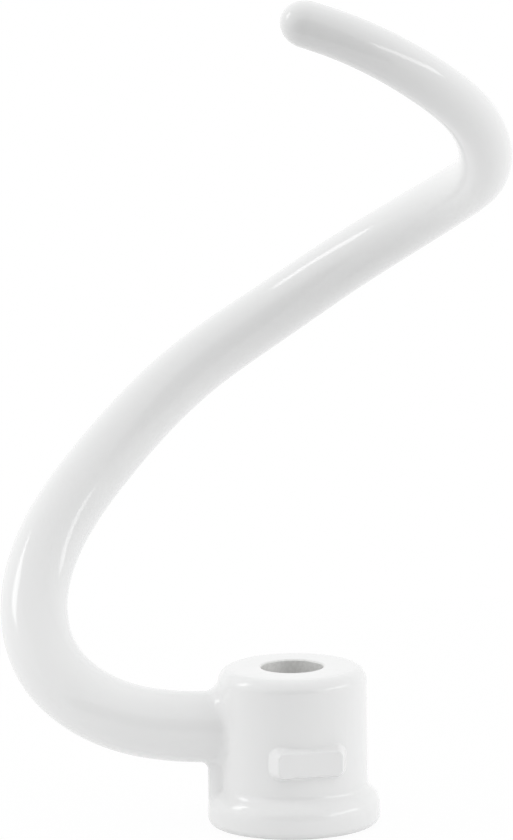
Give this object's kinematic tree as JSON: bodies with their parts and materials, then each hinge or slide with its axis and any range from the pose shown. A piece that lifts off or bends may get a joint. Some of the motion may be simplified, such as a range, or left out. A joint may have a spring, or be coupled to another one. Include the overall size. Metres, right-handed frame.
{
  "type": "dough hook",
  "caption": "Spiral dough hook for a stand mixer: a tapered white-coated arm that winds up from a collared hub, with a bore and bayonet slot for the mixer's shaft and cross pin.",
  "frame": {"origin": "on the hub's axis, in the collar's end face, where the mixer shaft enters", "axes": "+Z along the hub towards the arm's tip, -X the way the arm leaves the hub, -Y the side of the raised pad"},
  "size_m": [0.122, 0.1106, 0.2024],
  "materials": {
    "white_coat": "smooth glossy white baked coat over cast aluminium, with bare machined metal inside the bore"
  },
  "bodies": {
    "root": {"dough_hook": "white_coat"}
  },
  "joints": []
}
